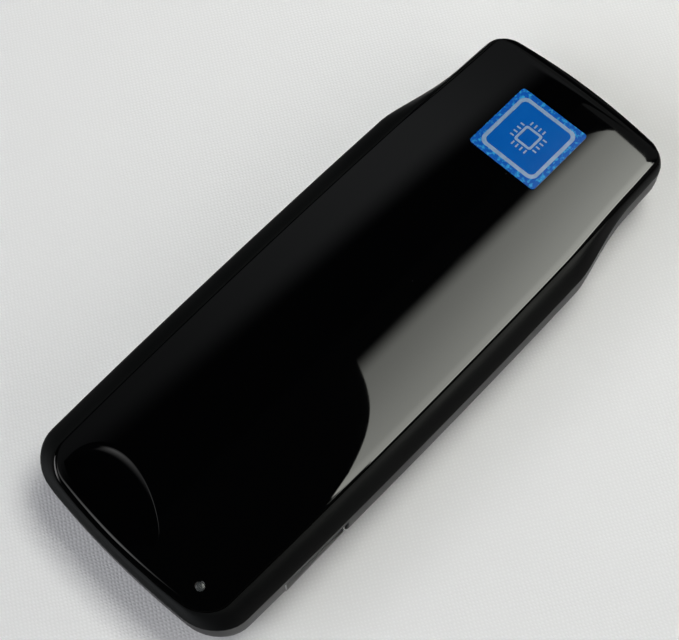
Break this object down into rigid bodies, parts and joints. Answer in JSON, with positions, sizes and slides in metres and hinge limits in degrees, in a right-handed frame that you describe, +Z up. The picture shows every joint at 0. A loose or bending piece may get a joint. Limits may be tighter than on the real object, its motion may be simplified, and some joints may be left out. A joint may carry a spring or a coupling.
{
  "type": "hdmi stick computer",
  "caption": "Flat stick computer with a gloss panel in a satin frame that necks in at the display socket end, with a dished power key, a status light and side sockets.",
  "frame": {"origin": "middle of the body's footprint, on the face it rests on", "axes": "+X along the body to the display socket end, +Y to the card slot side, +Z up out of the gloss panel"},
  "size_m": [0.112, 0.0446, 0.0128],
  "materials": {
    "gloss_black": "piano gloss",
    "satin_black": "fine satin",
    "cover_black": "smooth satin",
    "tape_grey": "matte film",
    "clear_plastic": "clear",
    "badge_blue": "gloss print under clear film",
    "label_paper": "matte, blank",
    "steel": "plain",
    "board_green": "solder mask",
    "chip_green": "package substrate",
    "chip_black": "moulded",
    "nickel": "nickel plated sheet",
    "ferrite": "matte",
    "capacitor_tan": "matte",
    "lamp_white": "clear cap",
    "plunger_cream": "moulded",
    "pad_blue": "soft",
    "aluminium": "extruded",
    "film_amber": "flexible film",
    "cable_black": "matte jacket",
    "contact_gold": "gold plated"
  },
  "bodies": {
    "case": {"bottom_cover": "cover_black", "upper_frame": "satin_black", "top_panel": "gloss_black", "panel_tape": "tape_grey", "light_pipe": "clear_plastic", "badge_sticker": "badge_blue", "rating_label": "label_paper", "case_screws": "steel", "main_board": "board_green", "processor": "chip_green", "memory_chips": "chip_black", "flash_chip": "chip_black", "power_chip": "chip_black", "clock_crystal": "nickel", "inductors": "ferrite", "capacitors": "capacitor_tan", "status_led": "lamp_white", "switch_base": "chip_black", "thermal_pad": "pad_blue", "heat_sink": "aluminium", "heat_sink_screws": "steel", "wireless_module": "nickel", "antenna_strip": "film_amber", "antenna_cable": "cable_black", "clock_cell": "nickel", "cell_holder": "chip_black", "hdmi_shell": "nickel", "hdmi_tongue": "chip_black", "hdmi_contacts": "contact_gold", "usb_shell": "nickel", "usb_tongue": "chip_black", "usb_contacts": "contact_gold", "power_shell": "nickel", "power_tongue": "chip_black", "power_contacts": "contact_gold", "card_base": "chip_black", "card_cover": "nickel", "card_contacts": "contact_gold"},
    "key": {"power_key": "gloss_black"},
    "plunger": {"switch_plunger": "plunger_cream"}
  },
  "joints": [
    {"name": "key_press", "type": "slide", "parent": "case", "child": "key", "axis": [0, 0, -1], "range_m": [0, 0.0004], "stiffness_N_per_m": 3000, "springref_m": -0.0001},
    {"name": "plunger_press", "type": "slide", "parent": "case", "child": "plunger", "axis": [0, 0, -1], "range_m": [0, 0.0004]}
  ],
  "couplings": [
    {"joint": "plunger_press", "follows": "key_press", "ratio": 1}
  ]
}
